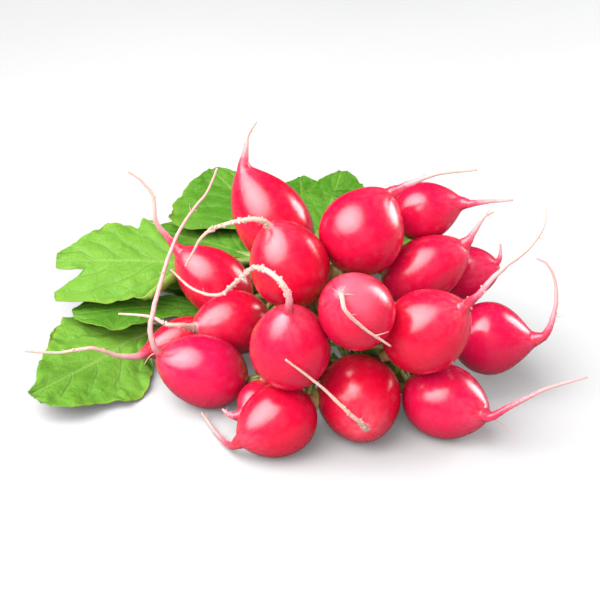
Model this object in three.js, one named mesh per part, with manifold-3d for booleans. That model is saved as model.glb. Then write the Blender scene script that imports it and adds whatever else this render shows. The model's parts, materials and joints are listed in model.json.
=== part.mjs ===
import * as THREE from 'three';
import { mergeVertices } from 'three/addons/utils/BufferGeometryUtils.js';
import Module from 'manifold-3d';

// A bunch of radishes lying on a table: round roots with long tails piled at the front,
// one leaf on each crown, the leaf stalks gathered by a band, the blades spread behind.
// Millimetres, +Z up, table at Z = 0, the photographed side faces -Y.

// Root bodies and tails
const rootSides = 14;
const bodyRings = 11;
const tailRings = 9;
const neckRadius = 4;
const bellyAt = 0.45;
const tailRadius = 1.4;
const tailFlare = 1.5;
const flareLength = 4.5;
const tipRadius = 0.45;
const tailTaper = 1.2;

// Leaf stalks and blades
const stalkRadius = 1.7;
const crownFlare = 1.4;
const crownFlareLength = 4;
const stalkGap = 0.4;
const stalkLead = 2.5;
const stalkSpread = 72;
const stalkStations = 13;
const bladeStations = 12;
const bladeColumns = [-1, -0.5, 0, 0.5, 1];
const bladeThickness = 0.9;
const ribThickness = 1.7;
const ribTaper = 0.4;
const blendStart = 0.15;
const blendRate = 4;
const tipWidth = 1.6;
const forwardSweep = 0.3;
const edgeWave = 0.6;
const edgeWaves = 4;
const swellHeight = 0.9;
const swellLengthX = 13;
const swellLengthY = 17;

// Band round the stalks: its centre, the heading of the stalks through it, the grid of stalks
const bandCentre = new THREE.Vector3(2, 16, 13);
const bandHeading = 120;
const columnPitch = 4.8;
const rowPitch = 4.6;
const middleRow = 2;
const stalkRun = 6;
const bandHalfWidth = 10;
const bandLow = 1.2;
const bandHigh = 24.6;
const bandCorner = 3.2;
const cornerSteps = 4;
const bandThickness = 1.2;
const bandBreadth = 5;

const samplesPerSpan = 60;
const headingStep = 0.2;
const degree = Math.PI / 180;
const up = new THREE.Vector3(0, 0, 1);

// Outline of a plain blade: share of its length, share of its half width there
const plainLeft = [
  [0, 0.2], [0.15, 0.36], [0.28, 0.6], [0.4, 0.72], [0.55, 1], [0.7, 0.84], [0.82, 0.8],
  [0.93, 0.5], [1, 0.1],
];
const plainRight = [
  [0, 0.2], [0.12, 0.34], [0.25, 0.5], [0.35, 0.74], [0.5, 1], [0.62, 0.86], [0.75, 0.9],
  [0.9, 0.6], [1, 0.1],
];

// Each plant: crown and nose of the root, its width, how pointed the nose is, the tail's route,
// with a thickness and flare of its own where the tail is slim;
// the stalk's route to the band, its row and column there, and the leaf's lie beyond the band:
// angle from +X, reach from the band, blade length, half width, tip height, bend and roll,
// with outlines of their own for the five largest blades and one hooked lobe.
const plants = [
  {
    crown: [-1.5, -25, 45], nose: [-21.5, -10, 77], width: 27, point: 0.65,
    tail: [[-21, -9, 83], [-20, -7, 89], [-17, -6, 94]],
    stalk: [[1, -24, 37], [2, -8, 28]], row: 4, column: -1,
    leaf: {
      angle: 180, reach: 98, blade: 56, half: 25, tip: 24, bend: 0, roll: 15,
      hook: { at: 0.66, spread: 0.12, lean: 0.9 },
      left: [
        [0, 0.4], [0.15, 0.75], [0.3, 0.85], [0.45, 0.9], [0.58, 0.92], [0.66, 0.68],
        [0.72, 0.4], [0.77, 0.16], [0.85, 0.2], [0.93, 0.18], [1, 0.12],
      ],
      right: [
        [0, 0.5], [0.15, 0.9], [0.3, 1], [0.36, 0.82], [0.42, 0.88], [0.6, 0.8], [0.75, 0.6],
        [0.88, 0.4], [1, 0.12],
      ],
    },
  },
  {
    crown: [1, -49, 43], nose: [-12, -48, 73], width: 28.5, point: 0.55, thick: 1.2, flare: 0.25,
    tail: [[-15, -51, 77], [-22, -53, 78], [-34, -51, 72], [-42, -48, 57]],
    stalk: [[3, -46, 36], [3, -30, 28], [2, -8, 20]], row: 3, column: -1,
    leaf: { angle: 147, reach: 74, blade: 50, half: 22, tip: 17, bend: 0, roll: 0 },
  },
  {
    crown: [-22, -4, 14], nose: [-47, 4.6, 34.2], width: 24, point: 0.55,
    tail: [[-52, 6, 40], [-56, 7, 46], [-57, 10, 55], [-61, 11, 61], [-66, 11, 65]],
    stalk: [[-16, -5, 10], [-6, 0, 8.6]], row: 1, column: -1.5,
    leaf: {
      angle: 195, reach: 93, blade: 61, half: 16, tip: 14, bend: 0, roll: 0,
      left: [[0, 0.3], [0.2, 0.45], [0.45, 0.55], [0.6, 0.8], [0.75, 0.9], [0.9, 0.6], [1, 0.15]],
      right: [[0, 0.3], [0.2, 0.45], [0.45, 0.7], [0.65, 1], [0.8, 0.9], [0.92, 0.5], [1, 0.15]],
    },
  },
  {
    crown: [-14, -18.5, 17.8], nose: [-40, -32.5, 22.4], width: 24.2, point: 0.55, thick: 1.25, flare: 0.6,
    tail: [[-45, -37, 26], [-50, -38, 27], [-56, -36, 29], [-68, -34, 29]],
    stalk: [[-8, -12, 18], [-2, -2, 14.5]], row: 2, column: -1.5,
    leaf: { angle: 164, reach: 64, blade: 48, half: 15, tip: 9, bend: 0, roll: 0 },
  },
  {
    crown: [-35, -13, 8.5], nose: [-58, -26.5, 8.5], width: 17, point: 0.7,
    tail: [[-61, -31, 9], [-68, -36, 12], [-78, -42, 19], [-90, -45, 19], [-102, -47, 21]],
    stalk: [[-16, -6, 6], [-4, 1, 4.2]], row: 0, column: -1.5,
    leaf: {
      angle: 217, reach: 126, blade: 66, half: 27, tip: 9, bend: 19, roll: 10,
      left: [
        [0, 0.1], [0.1, 0.3], [0.25, 0.62], [0.35, 0.78], [0.45, 0.9], [0.55, 0.9], [0.62, 0.8],
        [0.7, 0.68], [0.85, 0.58], [0.95, 0.4], [1, 0.22],
      ],
      right: [
        [0, 0.9], [0.1, 1.25], [0.2, 1.04], [0.3, 0.93], [0.4, 0.83], [0.55, 0.65], [0.64, 0.57],
        [0.8, 0.34], [0.88, 0.2], [1, 0.06],
      ],
    },
  },
  {
    crown: [-22, -48, 7], nose: [-51.5, -51.4, 22.4], width: 26.5, point: 0.5, thick: 1.25, flare: 0.7,
    tail: [
      [-54, -54, 28], [-55, -53, 34], [-52, -46, 46], [-46, -35, 61],
      [-40, -28, 69], [-35, -24, 74], [-31, -20, 82],
    ],
    stalk: [[-15, -42, 5], [-6, -15, 4]], row: 0, column: -0.5,
    leaf: { angle: 153, reach: 68, blade: 50, half: 17, tip: 2.6, bend: 0, roll: 0 },
  },
  {
    crown: [-4, -73, 26], nose: [-5, -82, 58], width: 28.5, point: 0.6, thick: 1.35, flare: 0.6,
    tail: [
      [-5, -85, 66], [-9, -83, 72], [-16, -76, 72], [-23, -68, 62],
      [-30, -60, 52], [-39, -51, 49], [-48, -38, 50],
    ],
    stalk: [[-4, -67, 23], [-3, -50, 20], [1, -15, 15]], row: 2, column: -0.5,
    leaf: { angle: 124, reach: 68, blade: 50, half: 16.5, tip: 9, bend: 0, roll: 0 },
  },
  {
    crown: [23.5, -70, 45], nose: [13, -88, 68], width: 26.5, point: 0.55, thick: 1, flare: 0.2,
    tail: [[13, -93, 70], [14, -96, 67], [20, -94, 59], [30, -90, 49]],
    stalk: [[23, -63, 40], [17, -48, 35], [9, -20, 25]], row: 3, column: 0,
    leaf: { angle: 92, reach: 83, blade: 58, half: 14, tip: 18, bend: 0, roll: 0 },
  },
  {
    crown: [13, -40, 52], nose: [31.5, -29, 76], width: 31, point: 0.55,
    tail: [[36, -29, 79], [47, -31, 85], [62, -33, 88]],
    stalk: [[9, -38, 44], [7, -20, 34]], row: 4, column: 0,
    leaf: {
      angle: 117, reach: 88, blade: 62, half: 33, tip: 24, bend: 0, roll: 0,
      left: [
        [0, 0.3], [0.1, 0.6], [0.2, 0.88], [0.34, 1], [0.44, 0.9], [0.56, 0.84], [0.75, 0.6],
        [0.94, 0.26], [1, 0.1],
      ],
      right: [
        [0, 0.18], [0.15, 0.32], [0.3, 0.5], [0.45, 0.6], [0.6, 0.66], [0.75, 0.56], [0.9, 0.34],
        [1, 0.1],
      ],
    },
  },
  {
    crown: [34, -12, 57], nose: [58, -15, 65], width: 21.5, point: 0.65,
    tail: [[62, -17, 66], [70, -17, 67], [77, -18, 68]],
    stalk: [[26, -9, 52], [16, 2, 36]], row: 4, column: 1,
    leaf: {
      angle: 80, reach: 84, blade: 64, half: 20, tip: 20, bend: 0, roll: 0,
      left: [
        [0, 0.18], [0.15, 0.36], [0.3, 0.6], [0.45, 0.75], [0.6, 0.62], [0.75, 0.5], [0.9, 0.34],
        [1, 0.12],
      ],
      right: [
        [0, 0.2], [0.15, 0.45], [0.3, 0.8], [0.45, 1], [0.6, 0.84], [0.75, 0.6], [0.9, 0.4],
        [1, 0.12],
      ],
    },
  },
  {
    crown: [31, -33, 38], nose: [58.5, -30.5, 56], width: 23.6, point: 0.5,
    tail: [[62, -30, 61], [66, -29, 67], [69, -29, 69]],
    stalk: [[22, -30, 35], [14, -8, 24]], row: 3, column: 1,
    leaf: { angle: 68, reach: 62, blade: 46, half: 17, tip: 13, bend: 0, roll: 0 },
  },
  {
    crown: [50, -14, 32], nose: [71.5, -22, 44], width: 20, point: 0.5, thick: 1, flare: 0.5,
    tail: [[73, -22, 47], [73, -20, 51]],
    stalk: [[42, -10, 28], [24, 4, 19]], row: 2, column: 1.5,
    leaf: { angle: 44, reach: 60, blade: 46, half: 15, tip: 9, bend: 0, roll: 0 },
  },
  {
    crown: [32, -64, 31], nose: [56, -72, 54], width: 29.5, point: 0.6,
    tail: [[60, -75, 60], [68, -73, 69], [78, -69, 76], [83, -65, 82], [84, -60, 87]],
    stalk: [[28, -59, 28], [20, -40, 24], [11, -10, 16]], row: 2, column: 0.5,
    leaf: { angle: 84, reach: 70, blade: 52, half: 16.5, tip: 9, bend: 0, roll: 0 },
  },
  {
    crown: [56, -33, 19], nose: [85, -42, 23], width: 27, point: 0.8,
    tail: [[89, -43, 26], [92, -40, 35], [92, -36, 44], [89, -34, 50], [85, -33, 52]],
    stalk: [[46, -27, 17], [26, -4, 11]], row: 1, column: 1.5,
    leaf: { angle: 57, reach: 72, blade: 54, half: 17, tip: 6, bend: 0, roll: 0 },
  },
  {
    crown: [38.6, -59.5, 12.3], nose: [64.2, -79, 13.8], width: 26.8, point: 0.55,
    tail: [[66, -82, 15], [74, -82, 20], [87, -80, 26], [100, -78, 29]],
    stalk: [[33, -54, 10.5], [25, -30, 6], [15, 0, 4]], row: 0, column: 1.5,
    leaf: { angle: 66, reach: 74, blade: 56, half: 18, tip: 2.6, bend: 0, roll: 0 },
  },
  {
    crown: [18, -53, 17], nose: [22, -86, 12.9], width: 30.2, point: 0.55, thick: 1.05, flare: 0.2,
    tail: [[20, -90, 18], [16, -92, 23], [6, -92, 34], [-6, -94, 46]],
    stalk: [[16, -42, 16], [11, -12, 10]], row: 1, column: 0.5,
    leaf: { angle: 98, reach: 74, blade: 54, half: 17, tip: 6, bend: 0, roll: 0 },
  },
  {
    crown: [2.6, -72.4, 14.6], nose: [-22, -86.6, 7.8], width: 25.8, point: 0.5,
    tail: [[-25, -84, 4], [-30, -75, 2], [-37, -59, 2]],
    stalk: [[3, -67, 16], [0.6, -52, 15], [1, -15, 10]], row: 1, column: -0.5,
    leaf: { angle: 138, reach: 68, blade: 50, half: 16.5, tip: 6, bend: 0, roll: 0 },
  },
  {
    crown: [-14, -55, 9.5], nose: [-22, -69, 7.5], width: 12, point: 0.7,
    tail: [[-26, -70, 8], [-29, -67, 8.5]],
    stalk: [[-11, -46, 9], [0, -20, 6]], row: 0, column: 0.5,
    leaf: { angle: 110, reach: 76, blade: 56, half: 18, tip: 2.6, bend: 0, roll: 0 },
  },
];

// A smooth curve through points, kept as a fine polyline with its running length
function routeThrough(points) {
  const curve = new THREE.CatmullRomCurve3(points);
  const line = curve.getPoints(samplesPerSpan * (points.length - 1));
  const lengths = [0];
  for (let i = 1; i < line.length; i += 1) {
    lengths.push(lengths[i - 1] + line[i].distanceTo(line[i - 1]));
  }
  return { line, lengths, total: lengths[lengths.length - 1] };
}

function pointAt(route, length) {
  const { line, lengths } = route;
  let i = 1;
  while (i < lengths.length - 1 && lengths[i] < length) {
    i += 1;
  }
  const share = (length - lengths[i - 1]) / (lengths[i] - lengths[i - 1]);
  return line[i - 1].clone().lerp(line[i], THREE.MathUtils.clamp(share, 0, 1));
}

function headingAt(route, length) {
  const back = pointAt(route, Math.max(0, length - headingStep));
  const ahead = pointAt(route, Math.min(route.total, length + headingStep));
  return ahead.sub(back).normalize();
}

// One closed skin over a row of rings; a ring may have half the points of the one before it
function skin(rings) {
  const positions = [];
  const index = [];
  const starts = [];
  for (const ring of rings) {
    starts.push(positions.length / 3);
    for (const p of ring) {
      positions.push(p.x, p.y, p.z);
    }
  }
  for (let r = 0; r + 1 < rings.length; r += 1) {
    const n = rings[r].length;
    const m = rings[r + 1].length;
    for (let j = 0; j < n; j += 1) {
      const a = starts[r] + j;
      const b = starts[r] + ((j + 1) % n);
      if (m === n) {
        const c = starts[r + 1] + ((j + 1) % n);
        const d = starts[r + 1] + j;
        index.push(a, b, c, a, c, d);
      } else {
        const half = Math.floor(j / 2);
        const c = starts[r + 1] + half;
        const d = starts[r + 1] + ((half + 1) % m);
        if (j % 2 === 0) {
          index.push(a, b, c);
        } else {
          index.push(a, b, d, a, d, c);
        }
      }
    }
  }
  const first = rings[0].length;
  for (let j = 1; j + 1 < first; j += 1) {
    index.push(starts[0], starts[0] + j + 1, starts[0] + j);
  }
  const lastStart = starts[starts.length - 1];
  const last = rings[rings.length - 1].length;
  for (let j = 1; j + 1 < last; j += 1) {
    index.push(lastStart, lastStart + j, lastStart + j + 1);
  }
  return closed(positions, index);
}

function closed(positions, index) {
  const geometry = new THREE.BufferGeometry();
  geometry.setAttribute('position', new THREE.Float32BufferAttribute(positions, 3));
  geometry.setIndex(index);
  return geometry;
}

function circle(centre, across, over, radius, sides) {
  const ring = [];
  for (let j = 0; j < sides; j += 1) {
    const turn = (2 * Math.PI * j) / sides;
    const p = centre.clone();
    p.addScaledVector(across, radius * Math.cos(turn));
    p.addScaledVector(over, radius * Math.sin(turn));
    ring.push(p);
  }
  return ring;
}

// Root radius at a share of the body length: round shoulder, belly, then a nose running out
function bodyRadius(plant, t) {
  const half = plant.width / 2;
  if (t < bellyAt) {
    return half * Math.sqrt(Math.max(0, 1 - (1 - t / bellyAt) ** 2));
  }
  const fall = Math.cos((Math.PI / 2) * Math.min(1, (t - bellyAt) / (1 - bellyAt)));
  return half * Math.max(0, fall) ** plant.point;
}

function rootGeometry(plant) {
  const points = [plant.crown, plant.nose, ...plant.tail].map((p) => new THREE.Vector3(...p));
  const route = routeThrough(points);
  const bodyLength = route.lengths[samplesPerSpan];
  const tailLength = route.total - bodyLength;
  const thick = plant.thick ?? tailRadius;
  const flare = plant.flare ?? tailFlare;
  const rings = [];
  let across = headingAt(route, 0).cross(up).normalize();
  const addRing = (length, radius, sides) => {
    const heading = headingAt(route, length);
    across = across.addScaledVector(heading, -across.dot(heading)).normalize();
    const over = heading.clone().cross(across);
    rings.push(circle(pointAt(route, length), across, over, radius, sides));
  };
  for (let i = 0; i < bodyRings; i += 1) {
    const t = 0.5 - 0.5 * Math.cos((Math.PI * i) / (bodyRings - 1));
    const neck = neckRadius * (1 - t);
    const base = (thick + flare) * t;
    addRing(t * bodyLength, Math.hypot(bodyRadius(plant, t), neck, base), rootSides);
  }
  for (let i = 1; i <= tailRings; i += 1) {
    const q = i / tailRings;
    const flared = flare * Math.exp((-q * tailLength) / flareLength) * (1 - q);
    const radius = tipRadius + (thick - tipRadius) * (1 - q) ** tailTaper + flared;
    addRing(bodyLength + q * tailLength, radius, rootSides / 2);
  }
  return skin(rings);
}

// Direction of the stalks through the band, and the band's own level direction
const bandTurn = bandHeading * degree;
const bandAlong = new THREE.Vector3(Math.cos(bandTurn), Math.sin(bandTurn), 0);
const bandAcross = bandAlong.clone().cross(up);

// Low swells shared by all blades, so that they lie on one another without touching
function swell(p) {
  return swellHeight * Math.sin(p.x / swellLengthX) * Math.cos(p.y / swellLengthY);
}

// Half width of a blade at a share of its length, read off its left or right outline
function halfWidth(leaf, q, side) {
  const edge = side > 0 ? leaf.right ?? plainRight : leaf.left ?? plainLeft;
  let i = 1;
  while (i < edge.length - 1 && edge[i][0] < q) {
    i += 1;
  }
  const share = (q - edge[i - 1][0]) / (edge[i][0] - edge[i - 1][0]);
  return Math.max(tipWidth, leaf.half * THREE.MathUtils.lerp(edge[i - 1][1], edge[i][1], share));
}

// How far the blade leans forward for each millimetre outward; a hooked lobe on the left leans more
function forwardLean(leaf, q, side) {
  const lean = forwardSweep * (1 - q * q);
  if (!leaf.hook || side > 0) {
    return lean;
  }
  const { hook } = leaf;
  return lean + hook.lean * Math.exp(-(((q - hook.at) / hook.spread) ** 2));
}

function leafRoute(plant) {
  const { leaf } = plant;
  const crown = new THREE.Vector3(...plant.crown);
  const out = crown.clone().sub(new THREE.Vector3(...plant.nose)).normalize();
  const level = (plant.row - middleRow) * rowPitch;
  const slot = bandCentre.clone().addScaledVector(bandAcross, plant.column * columnPitch);
  slot.z += level;
  const spot = (angle, reach, height) => new THREE.Vector3(
    bandCentre.x + reach * Math.cos(angle * degree),
    bandCentre.y + reach * Math.sin(angle * degree),
    height,
  );
  const baseReach = leaf.reach - leaf.blade;
  const midReach = leaf.reach - leaf.blade / 2;
  const stalkPoints = [
    crown.clone().addScaledVector(out, stalkGap),
    crown.clone().addScaledVector(out, stalkGap + stalkLead),
    ...plant.stalk.map((p) => new THREE.Vector3(...p)),
    slot.clone().addScaledVector(bandAlong, -stalkRun),
    slot.clone().addScaledVector(bandAlong, stalkRun),
    spot(leaf.angle - leaf.bend, baseReach, slot.z),
  ];
  const bladePoints = [
    spot(leaf.angle - leaf.bend / 3, midReach, (slot.z + leaf.tip) / 2),
    spot(leaf.angle, leaf.reach, leaf.tip),
  ];
  const route = routeThrough([...stalkPoints, ...bladePoints]);
  return { route, stalkLength: route.lengths[samplesPerSpan * (stalkPoints.length - 1)] };
}

function leafGeometry(plant) {
  const { leaf } = plant;
  const { route, stalkLength } = leafRoute(plant);
  const bladeLength = route.total - stalkLength;
  const stations = [];
  for (let i = 0; i < stalkStations; i += 1) {
    stations.push((stalkLength * i) / stalkStations);
  }
  for (let i = 0; i <= bladeStations; i += 1) {
    stations.push(stalkLength + (bladeLength * i) / bladeStations);
  }
  const roll = leaf.roll * degree;
  const rings = [];
  let across = null;
  for (let i = stations.length - 1; i >= 0; i -= 1) {
    const length = stations[i];
    const heading = headingAt(route, length);
    const onBlade = length >= stalkLength;
    if (onBlade) {
      across = heading.clone().cross(up).normalize();
    } else {
      across = across.addScaledVector(heading, -across.dot(heading)).normalize();
    }
    const over = across.clone().cross(heading);
    const q = Math.max(0, (length - stalkLength) / bladeLength);
    const blend = onBlade ? Math.min(1, q * blendRate + blendStart) : 0;
    const rib = ribThickness * (1 - ribTaper * q);
    const stem = stalkRadius + crownFlare * Math.exp(-length / crownFlareLength);
    const top = [];
    const bottom = [];
    for (const u of bladeColumns) {
      const spread = u * stalkSpread * degree;
      const wide = u * halfWidth(leaf, q, u);
      const wave = edgeWave * u * u * Math.sin(2 * Math.PI * edgeWaves * q + u);
      const thick = u === 0 ? rib : bladeThickness;
      const centre = pointAt(route, length);
      centre.addScaledVector(across, wide * blend * Math.cos(roll));
      centre.addScaledVector(heading, forwardLean(leaf, q, u) * Math.abs(wide) * blend);
      centre.z += blend * (wave + wide * Math.sin(roll) + swell(centre));
      const sideways = stem * Math.sin(spread) * (1 - blend);
      const deep = THREE.MathUtils.lerp(stem * Math.cos(spread), thick / 2, blend);
      centre.addScaledVector(across, sideways);
      top.push(centre.clone().addScaledVector(over, deep));
      bottom.unshift(centre.clone().addScaledVector(over, -deep));
    }
    rings.unshift([...top, ...bottom]);
  }
  return bladeSkin(rings);
}

// Skin over blade sections, both faces split along the same diagonals
function bladeSkin(rings) {
  const count = rings[0].length;
  const columns = bladeColumns.length;
  const positions = [];
  const index = [];
  for (const ring of rings) {
    for (const p of ring) {
      positions.push(p.x, p.y, p.z);
    }
  }
  for (let r = 0; r + 1 < rings.length; r += 1) {
    for (let j = 0; j < count; j += 1) {
      const a = r * count + j;
      const b = r * count + ((j + 1) % count);
      const c = b + count;
      const d = a + count;
      if (j < columns) {
        index.push(a, b, c, a, c, d);
      } else {
        index.push(a, b, d, b, c, d);
      }
    }
  }
  const end = (rings.length - 1) * count;
  for (let j = 0; j + 1 < columns; j += 1) {
    const k = count - 1 - j;
    index.push(j, k, j + 1, j + 1, k, k - 1);
    index.push(end + j, end + j + 1, end + k, end + j + 1, end + k - 1, end + k);
  }
  return closed(positions, index);
}

// The band: a flat strip carried round a rounded rectangle that encloses the stalks
function bandGeometry() {
  const corners = [
    [bandHalfWidth - bandCorner, bandLow + bandCorner, -90],
    [bandHalfWidth - bandCorner, bandHigh - bandCorner, 0],
    [bandCorner - bandHalfWidth, bandHigh - bandCorner, 90],
    [bandCorner - bandHalfWidth, bandLow + bandCorner, 180],
  ];
  const positions = [];
  const index = [];
  const base = new THREE.Vector3(bandCentre.x, bandCentre.y, 0);
  for (const [x, z, from] of corners) {
    for (let i = 0; i <= cornerSteps; i += 1) {
      const turn = (from + (90 * i) / cornerSteps) * degree;
      for (const [outward, along] of [[0, -1], [1, -1], [1, 1], [0, 1]]) {
        const radius = bandCorner + outward * bandThickness;
        const p = base.clone();
        p.addScaledVector(bandAcross, x + radius * Math.cos(turn));
        p.addScaledVector(bandAlong, (along * bandBreadth) / 2);
        p.z = z + radius * Math.sin(turn);
        positions.push(p.x, p.y, p.z);
      }
    }
  }
  const sections = positions.length / 12;
  for (let s = 0; s < sections; s += 1) {
    const next = (s + 1) % sections;
    for (let j = 0; j < 4; j += 1) {
      const a = s * 4 + j;
      const b = s * 4 + ((j + 1) % 4);
      const c = next * 4 + ((j + 1) % 4);
      const d = next * 4 + j;
      index.push(a, b, c, a, c, d);
    }
  }
  return closed(positions, index);
}

// Roots that reach the table get a small flat spot at Z = 0
const wasm = await Module();
wasm.setup();

function toSolid(geometry) {
  const bare = geometry.clone();
  bare.deleteAttribute('normal');
  bare.deleteAttribute('uv');
  const merged = mergeVertices(bare);
  return new wasm.Manifold(new wasm.Mesh({
    numProp: 3,
    vertProperties: new Float32Array(merged.attributes.position.array),
    triVerts: new Uint32Array(merged.index.array),
  }));
}

const tableSize = 400;
const tableSlab = new THREE.BoxGeometry(tableSize, tableSize, tableSize);
tableSlab.translate(0, 0, -tableSize / 2);
const table = toSolid(tableSlab);

function flatAtTable(geometry) {
  geometry.computeBoundingBox();
  if (geometry.boundingBox.min.z >= 0) {
    return geometry;
  }
  const mesh = toSolid(geometry).subtract(table).getMesh();
  return closed(Array.from(mesh.vertProperties), Array.from(mesh.triVerts));
}

function addPiece(group, name, geometry, look) {
  geometry.computeVertexNormals();
  const mesh = new THREE.Mesh(geometry, new THREE.MeshStandardMaterial(look));
  mesh.name = name;
  group.add(mesh);
}

const skinLook = { color: 0xe0163f, roughness: 0.28, metalness: 0 };
const leafLook = { color: 0x5aa82a, roughness: 0.6, metalness: 0 };
const bandLook = { color: 0xc9a468, roughness: 0.55, metalness: 0 };

const bunch = new THREE.Group();
plants.forEach((plant, i) => {
  const number = String(i + 1).padStart(2, '0');
  addPiece(bunch, `root_${number}`, flatAtTable(rootGeometry(plant)), skinLook);
  addPiece(bunch, `leaf_${number}`, leafGeometry(plant), leafLook);
});
addPiece(bunch, 'band', bandGeometry(), bandLook);

export default bunch;
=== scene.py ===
import bpy
import json
import math
import random
from bisect import bisect_left
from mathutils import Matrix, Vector, noise

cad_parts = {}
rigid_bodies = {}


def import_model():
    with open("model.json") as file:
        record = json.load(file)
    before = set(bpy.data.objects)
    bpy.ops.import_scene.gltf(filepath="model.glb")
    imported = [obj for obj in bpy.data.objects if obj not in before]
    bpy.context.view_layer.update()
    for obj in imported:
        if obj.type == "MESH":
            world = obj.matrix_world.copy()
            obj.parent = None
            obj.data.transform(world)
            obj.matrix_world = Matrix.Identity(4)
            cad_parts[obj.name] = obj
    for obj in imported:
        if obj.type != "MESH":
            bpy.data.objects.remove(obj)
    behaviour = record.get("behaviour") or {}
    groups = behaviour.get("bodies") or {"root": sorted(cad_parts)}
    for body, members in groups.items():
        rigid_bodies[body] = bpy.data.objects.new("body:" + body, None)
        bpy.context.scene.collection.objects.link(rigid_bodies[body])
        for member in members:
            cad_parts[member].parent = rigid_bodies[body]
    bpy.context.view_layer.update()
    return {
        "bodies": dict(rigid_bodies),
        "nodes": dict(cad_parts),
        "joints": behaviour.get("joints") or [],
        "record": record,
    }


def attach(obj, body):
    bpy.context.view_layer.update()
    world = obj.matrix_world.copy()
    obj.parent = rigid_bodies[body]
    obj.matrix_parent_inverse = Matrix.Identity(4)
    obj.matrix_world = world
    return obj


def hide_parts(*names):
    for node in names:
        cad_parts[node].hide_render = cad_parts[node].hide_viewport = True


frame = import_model()
mm = 0.001  # every table below is in millimetres
up = Vector((0, 0, 1))
curveSteps = 60  # samples between two guide points
headingStep = 0.2  # reach either way when a path's heading is taken
print("frame loaded with", len(frame["nodes"]), "nodes")

# camera at the photograph's angle
cameraSetup = {
    "place": (-1.07, -746.9, 446.5),
    "aim": (-1.07, -54.1, 46.55),
    "lens": 134.4,
    "sensor": 36,
}


# sets a camera or light in its place, turned towards its aim
def setUp(name, data, setup):
    holder = bpy.data.objects.new(name, data)
    look = Vector(setup["aim"]) - Vector(setup["place"])
    holder.location = Vector(setup["place"]) * mm
    holder.rotation_euler = look.to_track_quat("-Z", "Y").to_euler()
    bpy.context.scene.collection.objects.link(holder)
    return holder


def makeCamera(setup):
    camera = bpy.data.cameras.new("bunchCamera")
    camera.lens = setup["lens"]
    camera.sensor_width = setup["sensor"]
    bpy.context.scene.camera = setUp("bunchCamera", camera, setup)


makeCamera(cameraSetup)
print("camera placed")

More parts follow.
